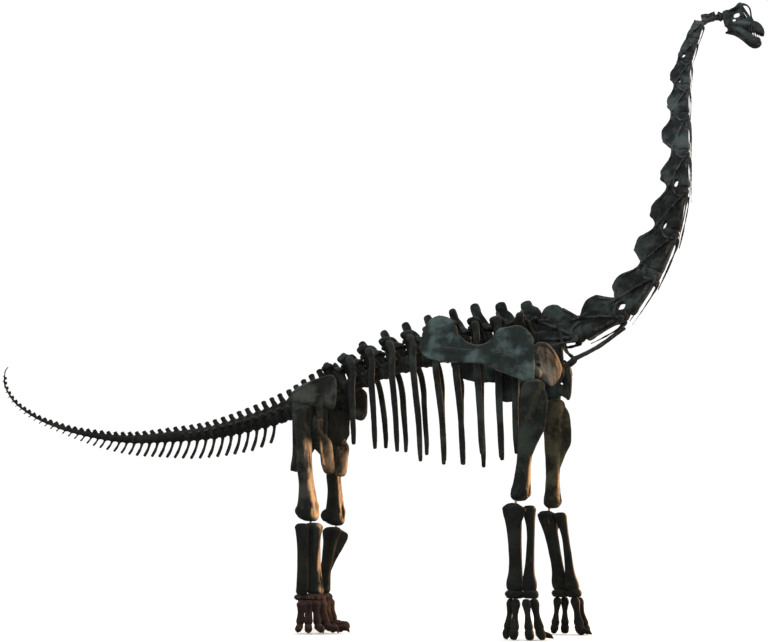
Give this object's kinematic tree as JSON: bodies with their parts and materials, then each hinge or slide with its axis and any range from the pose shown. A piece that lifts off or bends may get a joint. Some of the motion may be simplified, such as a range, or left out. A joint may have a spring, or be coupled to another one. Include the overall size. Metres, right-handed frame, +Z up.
{
  "type": "mounted dinosaur skeleton",
  "caption": "Life-size mounted skeleton of a long-necked, high-shouldered dinosaur, standing with its neck raised and its mouth open.",
  "frame": {"origin": "centre of the bounding box on the floor", "axes": "+X forward, towards the head; +Y the animal's left; +Z up"},
  "size_m": [15.6902, 3.1886, 10.9181],
  "materials": {
    "bone": "satin, dark bronze-green cast with brown worn edges",
    "hind_foot": "satin, dark reddish-brown cast"
  },
  "bodies": {
    "root": {"skull": "bone", "jaw": "bone", "neck_upper": "bone", "neck_middle": "bone", "neck_lower": "bone", "torso_right": "bone", "torso_left": "bone", "sacrum": "bone", "tail_base": "bone", "tail_middle": "bone", "tail_rear": "bone", "tail_tip": "bone", "scapula_right": "bone", "coracoid_right": "bone", "humerus_right": "bone", "ulna_right": "bone", "radius_right": "bone", "carpals_right": "bone", "finger_1_right": "bone", "finger_2_right": "bone", "finger_3_right": "bone", "finger_4_right": "bone", "finger_5_right": "bone", "ilium_right": "bone", "pubis_right": "bone", "ischium_right": "bone", "femur_right": "bone", "tibia_right": "bone", "fibula_right": "bone", "tarsus_right": "hind_foot", "toe_1_right": "hind_foot", "toe_2_right": "hind_foot", "toe_3_right": "hind_foot", "toe_4_right": "hind_foot", "toe_5_right": "hind_foot", "scapula_left": "bone", "coracoid_left": "bone", "humerus_left": "bone", "ulna_left": "bone", "radius_left": "bone", "carpals_left": "bone", "finger_1_left": "bone", "finger_2_left": "bone", "finger_3_left": "bone", "finger_4_left": "bone", "finger_5_left": "bone", "ilium_left": "bone", "pubis_left": "bone", "ischium_left": "bone", "femur_left": "bone", "tibia_left": "bone", "fibula_left": "bone", "tarsus_left": "hind_foot", "toe_1_left": "hind_foot", "toe_2_left": "hind_foot", "toe_3_left": "hind_foot", "toe_4_left": "hind_foot", "toe_5_left": "hind_foot"}
  },
  "joints": []
}
